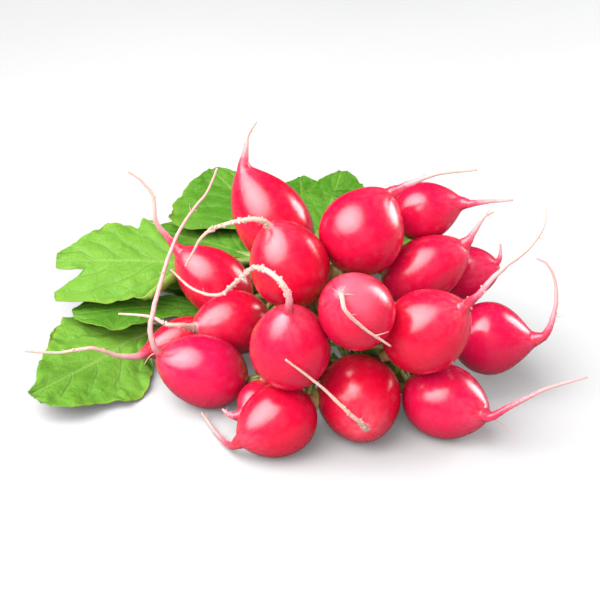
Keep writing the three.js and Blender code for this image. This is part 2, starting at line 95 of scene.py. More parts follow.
# the plants: crown and nose of the root, its width, how pointed the nose is, the tail's route and, where
# they aren't the usual ones, its thickness and flare; then the stalk's route to the band, its row and
# column there, and how the leaf lies beyond it, with a bend, roll, hooked lobe or outline of its own
plants = [
    {"crown": (-1.5, -25, 45), "nose": (-21.5, -10, 77), "width": 27, "point": 0.65,
     "tail": [(-21, -9, 83), (-20, -7, 89), (-17, -6, 94)],
     "stalk": [(1, -24, 37), (2, -8, 28)], "row": 4, "column": -1,
     "leaf": {"angle": 180, "reach": 98, "blade": 56, "half": 25, "tip": 24, "roll": 15,
              "hook": {"at": 0.66, "spread": 0.12, "lean": 0.9},
              "left": [(0, 0.4), (0.15, 0.75), (0.3, 0.85), (0.45, 0.9), (0.58, 0.92), (0.66, 0.68),
                       (0.72, 0.4), (0.77, 0.16), (0.85, 0.2), (0.93, 0.18), (1, 0.12)],
              "right": [(0, 0.5), (0.15, 0.9), (0.3, 1), (0.36, 0.82), (0.42, 0.88), (0.6, 0.8),
                        (0.75, 0.6), (0.88, 0.4), (1, 0.12)]}},
    {"crown": (1, -49, 43), "nose": (-12, -48, 73), "width": 28.5, "point": 0.55,
     "thick": 1.2, "flare": 0.25,
     "tail": [(-15, -51, 77), (-22, -53, 78), (-34, -51, 72), (-42, -48, 57)],
     "stalk": [(3, -46, 36), (3, -30, 28), (2, -8, 20)], "row": 3, "column": -1,
     "leaf": {"angle": 147, "reach": 74, "blade": 50, "half": 22, "tip": 17}},
    {"crown": (-22, -4, 14), "nose": (-47, 4.6, 34.2), "width": 24, "point": 0.55,
     "tail": [(-52, 6, 40), (-56, 7, 46), (-57, 10, 55), (-61, 11, 61), (-66, 11, 65)],
     "stalk": [(-16, -5, 10), (-6, 0, 8.6)], "row": 1, "column": -1.5,
     "leaf": {"angle": 195, "reach": 93, "blade": 61, "half": 16, "tip": 14,
              "left": [(0, 0.3), (0.2, 0.45), (0.45, 0.55), (0.6, 0.8), (0.75, 0.9), (0.9, 0.6),
                       (1, 0.15)],
              "right": [(0, 0.3), (0.2, 0.45), (0.45, 0.7), (0.65, 1), (0.8, 0.9), (0.92, 0.5),
                        (1, 0.15)]}},
    {"crown": (-14, -18.5, 17.8), "nose": (-40, -32.5, 22.4), "width": 24.2, "point": 0.55,
     "thick": 1.25, "flare": 0.6,
     "tail": [(-45, -37, 26), (-50, -38, 27), (-56, -36, 29), (-68, -34, 29)],
     "stalk": [(-8, -12, 18), (-2, -2, 14.5)], "row": 2, "column": -1.5,
     "leaf": {"angle": 164, "reach": 64, "blade": 48, "half": 15, "tip": 9}},
    {"crown": (-35, -13, 8.5), "nose": (-58, -26.5, 8.5), "width": 17, "point": 0.7,
     "tail": [(-61, -31, 9), (-68, -36, 12), (-78, -42, 19), (-90, -45, 19), (-102, -47, 21)],
     "stalk": [(-16, -6, 6), (-4, 1, 4.2)], "row": 0, "column": -1.5,
     "leaf": {"angle": 217, "reach": 126, "blade": 66, "half": 27, "tip": 9, "bend": 19, "roll": 10,
              "left": [(0, 0.1), (0.1, 0.3), (0.25, 0.62), (0.35, 0.78), (0.45, 0.9), (0.55, 0.9),
                       (0.62, 0.8), (0.7, 0.68), (0.85, 0.58), (0.95, 0.4), (1, 0.22)],
              "right": [(0, 0.9), (0.1, 1.25), (0.2, 1.04), (0.3, 0.93), (0.4, 0.83), (0.55, 0.65),
                        (0.64, 0.57), (0.8, 0.34), (0.88, 0.2), (1, 0.06)]}},
    {"crown": (-22, -48, 7), "nose": (-51.5, -51.4, 22.4), "width": 26.5, "point": 0.5,
     "thick": 1.25, "flare": 0.7,
     "tail": [(-54, -54, 28), (-55, -53, 34), (-52, -46, 46), (-46, -35, 61), (-40, -28, 69),
              (-35, -24, 74), (-31, -20, 82)],
     "stalk": [(-15, -42, 5), (-6, -15, 4)], "row": 0, "column": -0.5,
     "leaf": {"angle": 153, "reach": 68, "blade": 50, "half": 17, "tip": 2.6}},
    {"crown": (-4, -73, 26), "nose": (-5, -82, 58), "width": 28.5, "point": 0.6,
     "thick": 1.35, "flare": 0.6,
     "tail": [(-5, -85, 66), (-9, -83, 72), (-16, -76, 72), (-23, -68, 62), (-30, -60, 52),
              (-39, -51, 49), (-48, -38, 50)],
     "stalk": [(-4, -67, 23), (-3, -50, 20), (1, -15, 15)], "row": 2, "column": -0.5,
     "leaf": {"angle": 124, "reach": 68, "blade": 50, "half": 16.5, "tip": 9}},
    {"crown": (23.5, -70, 45), "nose": (13, -88, 68), "width": 26.5, "point": 0.55,
     "thick": 1, "flare": 0.2,
     "tail": [(13, -93, 70), (14, -96, 67), (20, -94, 59), (30, -90, 49)],
     "stalk": [(23, -63, 40), (17, -48, 35), (9, -20, 25)], "row": 3, "column": 0,
     "leaf": {"angle": 92, "reach": 83, "blade": 58, "half": 14, "tip": 18}},
    {"crown": (13, -40, 52), "nose": (31.5, -29, 76), "width": 31, "point": 0.55,
     "tail": [(36, -29, 79), (47, -31, 85), (62, -33, 88)],
     "stalk": [(9, -38, 44), (7, -20, 34)], "row": 4, "column": 0,
     "leaf": {"angle": 117, "reach": 88, "blade": 62, "half": 33, "tip": 24,
              "left": [(0, 0.3), (0.1, 0.6), (0.2, 0.88), (0.34, 1), (0.44, 0.9), (0.56, 0.84),
                       (0.75, 0.6), (0.94, 0.26), (1, 0.1)],
              "right": [(0, 0.18), (0.15, 0.32), (0.3, 0.5), (0.45, 0.6), (0.6, 0.66), (0.75, 0.56),
                        (0.9, 0.34), (1, 0.1)]}},
    {"crown": (34, -12, 57), "nose": (58, -15, 65), "width": 21.5, "point": 0.65,
     "tail": [(62, -17, 66), (70, -17, 67), (77, -18, 68)],
     "stalk": [(26, -9, 52), (16, 2, 36)], "row": 4, "column": 1,
     "leaf": {"angle": 80, "reach": 84, "blade": 64, "half": 20, "tip": 20,
              "left": [(0, 0.18), (0.15, 0.36), (0.3, 0.6), (0.45, 0.75), (0.6, 0.62), (0.75, 0.5),
                       (0.9, 0.34), (1, 0.12)],
              "right": [(0, 0.2), (0.15, 0.45), (0.3, 0.8), (0.45, 1), (0.6, 0.84), (0.75, 0.6),
                        (0.9, 0.4), (1, 0.12)]}},
    {"crown": (31, -33, 38), "nose": (58.5, -30.5, 56), "width": 23.6, "point": 0.5,
     "tail": [(62, -30, 61), (66, -29, 67), (69, -29, 69)],
     "stalk": [(22, -30, 35), (14, -8, 24)], "row": 3, "column": 1,
     "leaf": {"angle": 68, "reach": 62, "blade": 46, "half": 17, "tip": 13}},
    {"crown": (50, -14, 32), "nose": (71.5, -22, 44), "width": 20, "point": 0.5,
     "thick": 1, "flare": 0.5,
     "tail": [(73, -22, 47), (73, -20, 51)],
     "stalk": [(42, -10, 28), (24, 4, 19)], "row": 2, "column": 1.5,
     "leaf": {"angle": 44, "reach": 60, "blade": 46, "half": 15, "tip": 9}},
    {"crown": (32, -64, 31), "nose": (56, -72, 54), "width": 29.5, "point": 0.6,
     "tail": [(60, -75, 60), (68, -73, 69), (78, -69, 76), (83, -65, 82), (84, -60, 87)],
     "stalk": [(28, -59, 28), (20, -40, 24), (11, -10, 16)], "row": 2, "column": 0.5,
     "leaf": {"angle": 84, "reach": 70, "blade": 52, "half": 16.5, "tip": 9}},
    {"crown": (56, -33, 19), "nose": (85, -42, 23), "width": 27, "point": 0.8,
     "tail": [(89, -43, 26), (92, -40, 35), (92, -36, 44), (89, -34, 50), (85, -33, 52)],
     "stalk": [(46, -27, 17), (26, -4, 11)], "row": 1, "column": 1.5,
     "leaf": {"angle": 57, "reach": 72, "blade": 54, "half": 17, "tip": 6}},
    {"crown": (38.6, -59.5, 12.3), "nose": (64.2, -79, 13.8), "width": 26.8, "point": 0.55,
     "tail": [(66, -82, 15), (74, -82, 20), (87, -80, 26), (100, -78, 29)],
     "stalk": [(33, -54, 10.5), (25, -30, 6), (15, 0, 4)], "row": 0, "column": 1.5,
     "leaf": {"angle": 66, "reach": 74, "blade": 56, "half": 18, "tip": 2.6}},
    {"crown": (18, -53, 17), "nose": (22, -86, 12.9), "width": 30.2, "point": 0.55,
     "thick": 1.05, "flare": 0.2,
     "tail": [(20, -90, 18), (16, -92, 23), (6, -92, 34), (-6, -94, 46)],
     "stalk": [(16, -42, 16), (11, -12, 10)], "row": 1, "column": 0.5,
     "leaf": {"angle": 98, "reach": 74, "blade": 54, "half": 17, "tip": 6}},
    {"crown": (2.6, -72.4, 14.6), "nose": (-22, -86.6, 7.8), "width": 25.8, "point": 0.5,
     "tail": [(-25, -84, 4), (-30, -75, 2), (-37, -59, 2)],
     "stalk": [(3, -67, 16), (0.6, -52, 15), (1, -15, 10)], "row": 1, "column": -0.5,
     "leaf": {"angle": 138, "reach": 68, "blade": 50, "half": 16.5, "tip": 6}},
    {"crown": (-14, -55, 9.5), "nose": (-22, -69, 7.5), "width": 12, "point": 0.7,
     "tail": [(-26, -70, 8), (-29, -67, 8.5)],
     "stalk": [(-11, -46, 9), (0, -20, 6)], "row": 0, "column": 0.5,
     "leaf": {"angle": 110, "reach": 76, "blade": 56, "half": 18, "tip": 2.6}},
]

# how each plant is finished: run of pink on the tail, knots, their size and where they sit along it,
# short hairs, magenta share, paleness of the body (partly its own pale colour, partly a painted highlight
# on the side facing the light), scars and ridges at the tail's base, lightness and crinkle of the leaf
# (the lightness partly its own green, partly painted light glowing through it)
touchKeys = ("pink", "knots", "knotScale", "knotSpan", "hairs", "magenta", "paleAndSheen", "scar", "ridge", "light",
             "crinkle")
touches = [dict(zip(touchKeys, row)) for row in (
    (11, 3, 1, (0.1, 0.9), 4, 0.08, 0, 0.2, 0.0, 1.0, 1.2),
    (0, 34, 1.6, (0.0, 0.6), 5, 0.0, 0, 0.4, 0.05, 0.45, 0.6),
    (22, 6, 1, (0.2, 0.9), 7, 0.05, 0, 0.1, 0.0, 0.4, 0.6),
    (1, 12, 1.3, (0.0, 0.5), 6, 0.06, 0, 0.8, 0.13, 0.4, 0.6),
    (14, 18, 1.3, (0.0, 0.7), 6, 0.1, 0, 0.4, 0.05, 0.85, 1.2),
    (7, 5, 1, (0.0, 0.6), 5, 0.6, 0, 0.2, 0.03, 0.45, 0.6),
    (12, 40, 1.7, (0.08, 0.62), 6, 0.25, 0, 0.3, 0.03, 0.5, 0.6),
    (0, 3, 1, (0.0, 0.3), 3, 0.3, 0.26, 0.3, 0.04, 0.4, 0.8),
    (18, 3, 1, (0.0, 0.7), 10, 0.22, 0, 0.3, 0.06, 0.5, 1.1),
    (18, 2, 1, (0.0, 0.8), 6, 0.4, 0, 0.2, 0.03, 0.4, 1.1),
    (12, 5, 1, (0.0, 0.9), 14, 0.3, 0, 0.4, 0.06, 0.5, 0.6),
    (8, 2, 1, (0.0, 0.8), 3, 0.6, 0, 0.1, 0.0, 0.45, 0.6),
    (28, 6, 1.4, (0.0, 0.3), 8, 0.1, 0, 1.0, 0.06, 0.55, 0.6),
    (24, 2, 1, (0.0, 0.3), 16, 0.55, 0, 0.5, 0.04, 0.4, 0.6),
    (36, 6, 1, (0.0, 0.5), 8, 0.5, 0, 0.4, 0.06, 0.45, 0.6),
    (0, 18, 1.4, (0.0, 0.4), 2, 0.0, 0, 0.8, 0.1, 0.5, 0.6),
    (32, 4, 1, (0.0, 0.8), 20, 0.05, 0, 0.2, 0.0, 0.45, 0.6),
    (12, 4, 1, (0.0, 0.8), 8, 0.2, 0, 0.2, 0.0, 0.4, 0.6),
)]

# single rootlets that stand out: plant, run past the nose, aim, length, thickness, bow
rootlets = [
    (6, 0.8, (-1, -0.2, 0.2), 6.0, 0.34, (0.1, -0.3, -0.75)),
    (6, 58, (-0.3, 0.1, 1), 3.2, 0.25, (0.1, 0, 0.1)),
    (8, 0.5, (-0.8, -0.1, 0.5), 3.4, 0.28, (0.1, 0, 0.25)),
    (8, 0.7, (0.3, 0.3, 0.9), 3.0, 0.26, (0.15, 0, 0)),
    (8, 0.9, (1, -0.1, 0.25), 4.2, 0.24, (0, 0, -0.2)),
    (8, 27, (1, -0.1, 0.3), 5.0, 0.24, (0, 0, 0.1)),
    (3, 24, (0.9, 0, 0.5), 2.2, 0.2, (0, 0, 0)),
    (13, 1.5, (-0.5, -0.5, 0.8), 3.2, 0.26, (0.2, 0, 0.1)),
    (13, 3.0, (0.4, -0.9, -0.3), 2.4, 0.3, (0, 0, 0)),
    (14, 12, (1, -0.4, 0.2), 4.0, 0.2, (0, 0, 0.3)),
    (15, 1.2, (0.9, -0.3, -0.2), 13.0, 0.13, (0, 0, -0.5)),
    (15, 22, (0.3, -0.4, 0.8), 2.6, 0.18, (0, 0, 0)),
    (9, 14, (0.1, 0.2, 1), 3.0, 0.18, (0, 0, 0)),
    (17, 9, (-0.3, 0.2, 0.9), 2.6, 0.2, (0, 0, 0)),
]


def smooth(low, high, value):
    share = min(1, max(0, (value - low) / (high - low)))
    return share * share * (3 - 2 * share)


def turnsOf(count):
    return [math.tau * j / count for j in range(count)]


def around(side, over, turn):
    return side * math.cos(turn) + over * math.sin(turn)


# a smooth curve through guide points, kept as a fine line with its running length
def pathThrough(guides):
    guides = [Vector(g) for g in guides]
    padded = [guides[0] * 2 - guides[1], *guides, guides[-1] * 2 - guides[-2]]
    line = [guides[0]]
    for span in range(len(guides) - 1):
        p0, p1, p2, p3 = padded[span:span + 4]
        d0, d1, d2 = (math.sqrt((b - a).length) for a, b in ((p0, p1), (p1, p2), (p2, p3)))
        leave = ((p1 - p0) / d0 - (p2 - p0) / (d0 + d1) + (p2 - p1) / d1) * d1
        arrive = ((p2 - p1) / d1 - (p3 - p1) / (d1 + d2) + (p3 - p2) / d2) * d1
        second = p2 * 3 - p1 * 3 - leave * 2 - arrive
        third = p1 * 2 - p2 * 2 + leave + arrive
        for step in range(1, curveSteps + 1):
            w = step / curveSteps
            line.append(p1 + leave * w + second * w ** 2 + third * w ** 3)
    runs = [0.0]
    for a, b in zip(line, line[1:]):
        runs.append(runs[-1] + (b - a).length)
    return {"line": line, "runs": runs, "total": runs[-1]}


def pointAt(path, run):
    runs, line = path["runs"], path["line"]
    i = min(len(runs) - 1, max(1, bisect_left(runs, run)))
    share = min(1, max(0, (run - runs[i - 1]) / (runs[i] - runs[i - 1])))
    return line[i - 1].lerp(line[i], share)


def headingAt(path, run):
    back = pointAt(path, max(0, run - headingStep))
    ahead = pointAt(path, min(path["total"], run + headingStep))
    return (ahead - back).normalized()


def level(direction, heading):
    return (direction - heading * direction.dot(heading)).normalized()


# a draft gathers points, faces, and two triples of shading values for each point
def newDraft():
    return {"points": [], "faces": [], "coord": [], "tone": [], "finish": []}


def addPoint(draft, point, coord, tone):
    draft["points"].append((point.x, point.y, max(point.z, 0)))  # nothing sinks into the table
    draft["coord"].append(coord)
    draft["tone"].append(tone)
    return len(draft["points"]) - 1


def addFace(draft, face, finish):
    draft["faces"].append(face)
    draft["finish"].append(finish)


# one closed skin over rows of rings; a ring may have half the points of the one before
def addSkin(draft, rings, finish=0):
    rows = [[addPoint(draft, *spot) for spot in ring] for ring in rings]
    for ring, following in zip(rows, rows[1:]):
        count = len(ring)
        for j in range(count):
            a, b = ring[j], ring[(j + 1) % count]
            if len(following) == count:
                addFace(draft, (a, b, following[(j + 1) % count], following[j]), finish)
                continue
            c, d = following[j // 2], following[(j // 2 + 1) % len(following)]
            addFace(draft, (a, b, c) if j % 2 == 0 else (a, b, d, c), finish)
    for row, ring, turned in ((rows[0], rings[0], True), (rows[-1], rings[-1], False)):
        middle = sum((spot[0] for spot in ring), Vector()) / len(ring)
        hub = addPoint(draft, middle, ring[0][1], ring[0][2])
        for j in range(len(row)):
            pair = (row[j], row[(j + 1) % len(row)])
            addFace(draft, (hub, *reversed(pair)) if turned else (hub, *pair), finish)


hairTaper = 0.8  # share of its thickness that a hair loses by its tip
knotSetup = {"bands": 5, "sides": 8, "stretch": 1.2}


# a thin tapering hair that leaves along aim and bows over its length
def addHair(draft, start, aim, length, thick, bow, coord, tone, sides=4, steps=4, finish=0):
    side = aim.orthogonal().normalized()
    rings = []
    for i in range(steps + 1):
        w = i / steps
        centre = start + aim * length * w + bow * length * w * w
        heading = (aim + bow * 2 * w).normalized()
        side = level(side, heading)
        over = heading.cross(side)
        radius = thick * (1 - hairTaper * w)
        rings.append([(centre + around(side, over, turn) * radius, coord, tone) for turn in turnsOf(sides)])
    addSkin(draft, rings, finish)


# a small round knot half sunk in the tail
def addKnot(draft, centre, heading, radius, coord, tone):
    s = knotSetup
    side = heading.orthogonal().normalized()
    over = heading.cross(side)
    rings = []
    for i in range(1, s["bands"]):
        lat = math.pi * i / s["bands"]
        middle = centre - heading * radius * s["stretch"] * math.cos(lat)
        rings.append([(middle + around(side, over, turn) * radius * math.sin(lat), coord, tone)
                      for turn in turnsOf(s["sides"])])
    addSkin(draft, rings)


def makePiece(name, draft, materials, node):
    mesh = bpy.data.meshes.new(name)
    mesh.from_pydata([(x * mm, y * mm, z * mm) for x, y, z in draft["points"]], [], draft["faces"])
    for key in ("coord", "tone"):
        layer = mesh.attributes.new(key, "FLOAT_VECTOR", "POINT")
        layer.data.foreach_set("vector", [v for triple in draft[key] for v in triple])
    for material in materials:
        mesh.materials.append(material)
    mesh.polygons.foreach_set("material_index", draft["finish"])
    mesh.polygons.foreach_set("use_smooth", [True] * len(mesh.polygons))
    mesh.update()
    mesh.validate()
    piece = bpy.data.objects.new(name, mesh)
    bpy.context.scene.collection.objects.link(piece)
    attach(piece, "root")
    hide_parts(node)


# shader helpers
def feed(tree, socket, value):
    if isinstance(value, bpy.types.NodeSocket):
        tree.links.new(value, socket)
    else:
        socket.default_value = value


def feedAll(tree, node, values):
    for key, value in values.items():
        feed(tree, node.inputs[key], value)


def put(tree, kind, inputs=None, **settings):
    node = tree.nodes.new(kind)
    for key, value in settings.items():
        setattr(node, key, value)
    feedAll(tree, node, inputs or {})
    return node


def calc(tree, job, first, second=0.0):
    return put(tree, "ShaderNodeMath", {0: first, 1: second}, operation=job).outputs[0]


def times(tree, first, second):
    return calc(tree, "MULTIPLY", first, second)


def plus(tree, first, second):
    return calc(tree, "ADD", first, second)


def minus(tree, first, second):
    return calc(tree, "SUBTRACT", first, second)


def ramp(tree, value, low, high, toLow=0.0, toHigh=1.0):
    node = put(tree, "ShaderNodeMapRange",
               {"Value": value, "From Min": low, "From Max": high, "To Min": toLow, "To Max": toHigh},
               interpolation_type="SMOOTHSTEP")
    return node.outputs["Result"]


# a mask turned into values that run smoothly from low to high
def between(tree, mask, low, high):
    return ramp(tree, mask, 0.0, 1.0, low, high)


def mixColour(tree, share, first, second):
    return put(tree, "ShaderNodeMix", {0: share, 6: first, 7: second}, data_type="RGBA").outputs[2]


# lays colours of a look over another, each as far as its mask and share allow
def stain(tree, colour, look, stains):
    for mask, share, name in stains:
        colour = mixColour(tree, times(tree, mask, share), colour, look[name])
    return colour


def layerOf(tree, name):
    node = put(tree, "ShaderNodeAttribute", attribute_name=name)
    split = put(tree, "ShaderNodeSeparateXYZ", {"Vector": node.outputs["Vector"]})
    return node.outputs["Vector"], split.outputs


def placeVector(tree):
    return put(tree, "ShaderNodeTexCoord").outputs["Object"]


def stretched(tree, coord, scale):
    return put(tree, "ShaderNodeMapping", {"Vector": coord, "Scale": scale}).outputs[0]


def addBump(tree, shader, height, look):
    bump = put(tree, "ShaderNodeBump",
               {"Height": height, "Strength": look["bump"], "Distance": look["bumpDepth"]})
    feed(tree, shader.inputs["Normal"], bump.outputs["Normal"])


def newMaterial(name):
    material = bpy.data.materials.new(name)
    material.use_nodes = True
    tree = material.node_tree
    return material, tree, tree.nodes["Principled BSDF"]


# shared effects: groups that each give one mask
def newGroup(name, *inputs):
    group = bpy.data.node_groups.new(name, "ShaderNodeTree")
    for key in inputs:
        kind = "NodeSocketVector" if key == "Vector" else "NodeSocketFloat"
        group.interface.new_socket(key, in_out="INPUT", socket_type=kind)
    group.interface.new_socket("Mask", in_out="OUTPUT", socket_type="NodeSocketFloat")
    entry = group.nodes.new("NodeGroupInput").outputs
    leave = group.nodes.new("NodeGroupOutput").inputs
    return group, {key: entry[key] for key in inputs}, leave["Mask"]


def useGroup(tree, group, **inputs):
    node = put(tree, "ShaderNodeGroup", node_tree=group)
    feedAll(tree, node, inputs)
    return node.outputs[0]


def makeMottle():
    group, entry, mask = newGroup("softMottle", "Vector", "Scale")
    cloud = put(group, "ShaderNodeTexNoise", {**entry, "Detail": 4.0})
    feed(group, mask, ramp(group, cloud.outputs["Fac"], 0.32, 0.68))
    return group


def makeFleck():
    group, entry, mask = newGroup("fleckMask", "Vector", "Scale", "Size")
    cells = put(group, "ShaderNodeTexVoronoi", {"Vector": entry["Vector"], "Scale": entry["Scale"]})
    spare = put(group, "ShaderNodeSeparateColor", {"Color": cells.outputs["Color"]})
    reach = times(group, entry["Size"], spare.outputs["Red"])
    near = minus(group, reach, cells.outputs["Distance"])
    feed(group, mask, ramp(group, near, 0.0, 0.06))
    return group


def makeNet():
    group, entry, mask = newGroup("veinNet", "Vector", "Scale")
    cells = put(group, "ShaderNodeTexVoronoi", entry, feature="DISTANCE_TO_EDGE")
    feed(group, mask, ramp(group, cells.outputs["Distance"], 0.10, 0.01))
    return group


mottle = makeMottle()
fleck = makeFleck()
net = makeNet()

# skin of the root: crimson belly, magenta cast, paler nose, cream tail, brown scars
skinLook = {
    "crimson": (0.40, 0.0006, 0.016, 1),
    "deep": (0.30, 0.0004, 0.011, 1),
    "magenta": (0.34, 0.0025, 0.046, 1),
    "rose": (0.44, 0.06, 0.10, 1),
    "pale": (0.39, 0.17, 0.18, 1),
    "cream": (0.38, 0.26, 0.205, 1),
    "brown": (0.19, 0.10, 0.047, 1),
    "crown": (0.20, 0.17, 0.06, 1),
    "cloudScale": 42.0,
    "fineScale": 420.0,
    "streakStretch": (1.7, 1.7, 0.16),
    "ringStretch": (0.7, 0.7, 2.2),
    "cast": (-0.1, 0.14),
    "deepShare": 0.3,
    "streakShare": 0.05,
    "noseReach": 9.0,
    "noseRoseAndSheen": (0.1, 0.34),
    "stray": 0.08,
    "toTail": (0.04, 0.42),
    "toPale": (0.15, 0.6),
    "toCream": (0.55, 1.0),
    "ringShare": 0.22,
    "roughness": 0.235,
    "tailRoughness": 0.58,
    "roughGrain": (-0.03, 0.05),
    "coat": 0.12,
    "coatRoughness": 0.26,
    "specular": 0.45,
    "flesh": 0.06,
    "fleshRadius": (1.0, 0.25, 0.2),
    "fleshDepth": 0.0012,
    "bump": 0.2,
    "bumpDepth": 0.0006,
}


def makeSkin(look):
    material, tree, shader = newMaterial("radishSkin")
    coord, (_, _, past) = layerOf(tree, "coord")
    _, (white, magenta, scar) = layerOf(tree, "tone")
    place = placeVector(tree)
    cloud = useGroup(tree, mottle, Vector=place, Scale=look["cloudScale"])
    fine = useGroup(tree, mottle, Vector=place, Scale=look["fineScale"])
    streak = useGroup(tree, mottle, Vector=stretched(tree, coord, look["streakStretch"]), Scale=3.0)
    rings = stretched(tree, coord, look["ringStretch"])
    ringing = put(tree, "ShaderNodeTexNoise", {"Vector": rings, "Scale": 1.0, "Detail": 3.0}).outputs["Fac"]
    # body: crimson to magenta with deeper clouds, turning to rose at the nose, partly the nose's own paler
    # colour and partly a painted highlight
    cast = plus(tree, magenta, between(tree, cloud, *look["cast"]))
    body = mixColour(tree, cast, look["crimson"], look["magenta"])
    body = stain(tree, body, look, [
        (cloud, look["deepShare"], "deep"), (streak, look["streakShare"], "rose"),
    ])
    # rose at the nose: partly its own colour, partly a painted highlight
    nose = times(tree, ramp(tree, past, -look["noseReach"], 0.0), between(tree, streak, *look["noseRoseAndSheen"]))
    body = mixColour(tree, nose, body, look["rose"])
    # tail: rose, then pale, then cream, the borders straying from ring to ring
    stray = ramp(tree, ringing, 0.3, 0.7, -look["stray"], look["stray"])
    wander = plus(tree, white, times(tree, stray, ramp(tree, past, -1.5, 1.0)))
    warm = mixColour(tree, ramp(tree, magenta, 0.0, 0.6, 0.2, 0.75), look["cream"], look["pale"])
    tail = mixColour(tree, ramp(tree, wander, *look["toPale"]), look["rose"], look["pale"])
    tail = mixColour(tree, ramp(tree, wander, *look["toCream"]), tail, warm)
    tail = stain(tree, tail, look, [(ramp(tree, ringing, 0.55, 0.75), look["ringShare"], "rose")])
    colour = mixColour(tree, ramp(tree, wander, *look["toTail"]), body, tail)
    colour = mixColour(tree, scar, colour, look["brown"])
    colour = mixColour(tree, ramp(tree, white, 0.0, -1.0), colour, look["crown"])
    rough = ramp(tree, white, 0.05, 0.6, look["roughness"], look["tailRoughness"])
    feedAll(tree, shader, {
        "Base Color": colour,
        "Roughness": plus(tree, rough, between(tree, fine, *look["roughGrain"])),
        "Coat Weight": ramp(tree, white, 0.0, 0.5, look["coat"], 0.0),
        "Coat Roughness": look["coatRoughness"],
        "Specular IOR Level": look["specular"],
        "Subsurface Weight": look["flesh"],
        "Subsurface Radius": look["fleshRadius"],
        "Subsurface Scale": look["fleshDepth"],
    })
    grain = times(tree, ringing, ramp(tree, past, -1.0, 3.0, 0.08, 1.2))
    grain = plus(tree, grain, times(tree, fine, 0.015))
    grain = plus(tree, grain, times(tree, streak, 0.07))
    addBump(tree, shader, grain, look)
    return material


# blade of the leaf: green upper face, paler under face, sunken veins with a fine net between; painted shade
# darkens the vein cores, net lines and hollows, painted light brightens the vein shoulders
bladeLook = {
    "dark": (0.016, 0.085, 0.001, 1),
    "bright": (0.082, 0.182, 0.019, 1),
    "shade": (0.018, 0.085, 0.003, 1),
    "pale": (0.14, 0.235, 0.055, 1),
    "under": (0.125, 0.18, 0.033, 1),
    "yellow": (0.15, 0.20, 0.02, 1),
    "sideVeins": 5.0,
    "slant": 1.8,
    "cloudTint": (-0.16, 0.16),
    "grainTint": (-0.08, 0.08),
    "roughness": (0.44, 0.6),
    "specular": 0.12,
    "flesh": 0.15,
    "fleshRadius": (0.6, 1.0, 0.2),
    "fleshDepth": 0.0008,
    "bump": 0.4,
    "bumpDepth": 0.0005,
}


def makeBlade(look):
    material, tree, shader = newMaterial("leafBlade")
    _, (across, along, ripple) = layerOf(tree, "coord")
    _, (light, under, hollowShade) = layerOf(tree, "tone")
    place = placeVector(tree)
    cloud = useGroup(tree, mottle, Vector=place, Scale=60.0)
    grain = useGroup(tree, mottle, Vector=place, Scale=560.0)
    spots = useGroup(tree, fleck, Vector=place, Scale=260.0, Size=0.2)
    wideNet = useGroup(tree, net, Vector=place, Scale=190.0)
    fineNet = useGroup(tree, net, Vector=place, Scale=560.0)
    # side veins leave the midrib at a slant, each a sunken core darkened with painted shade between shoulders
    # lightened with painted light
    out = calc(tree, "ABSOLUTE", across)
    step = minus(tree, times(tree, along, look["sideVeins"]), times(tree, out, look["slant"]))
    step = plus(tree, step, ripple)
    gap = calc(tree, "ABSOLUTE", minus(tree, calc(tree, "FRACT", step), 0.5))
    fade = ramp(tree, out, 1.0, 0.3, 0.1, 1.0)
    core = times(tree, ramp(tree, gap, 0.045, 0.005), fade)
    shoulderLight = times(tree, ramp(tree, gap, 0.2, 0.05), fade)
    rib = ramp(tree, out, 0.05, 0.015)
    rim = ramp(tree, out, 0.92, 1.0)
    lines = calc(tree, "MAXIMUM", times(tree, wideNet, 0.4), times(tree, fineNet, 0.18))
    # the leaf's lightness: partly its own green, partly painted light glowing through the lit leaves
    tint = plus(tree, light, between(tree, cloud, *look["cloudTint"]))
    tint = plus(tree, tint, between(tree, grain, *look["grainTint"]))
    # painted shade in the hollows, net lines and vein cores; painted light on the vein shoulders
    colour = stain(tree, mixColour(tree, tint, look["dark"], look["bright"]), look, [
        (hollowShade, 0.45, "shade"), (lines, 0.3, "shade"), (shoulderLight, 0.16, "pale"), (core, 0.45, "shade"),
        (rib, 0.4, "pale"), (rim, 0.3, "yellow"), (spots, 0.2, "yellow"), (under, 0.75, "under"),
    ])
    feedAll(tree, shader, {
        "Base Color": colour,
        "Roughness": between(tree, grain, *look["roughness"]),
        "Specular IOR Level": look["specular"],
        "Subsurface Weight": look["flesh"],
        "Subsurface Radius": look["fleshRadius"],
        "Subsurface Scale": look["fleshDepth"],
    })
    addBump(tree, shader, minus(tree, times(tree, grain, 0.3), calc(tree, "MAXIMUM", core, lines)), look)
    return material


# stalk and midrib: pale olive green with fine streaks, pink at the crown
stalkLook = {
    "green": (0.15, 0.23, 0.05, 1),
    "olive": (0.09, 0.125, 0.022, 1),
    "pink": (0.29, 0.045, 0.06, 1),
    "pinkRun": 9.0,
    "streakStretch": (4.0, 4.0, 0.12),
    "roughness": (0.42, 0.56),
    "flesh": 0.1,
    "fleshDepth": 0.0008,
    "bump": 0.3,
    "bumpDepth": 0.0004,
}


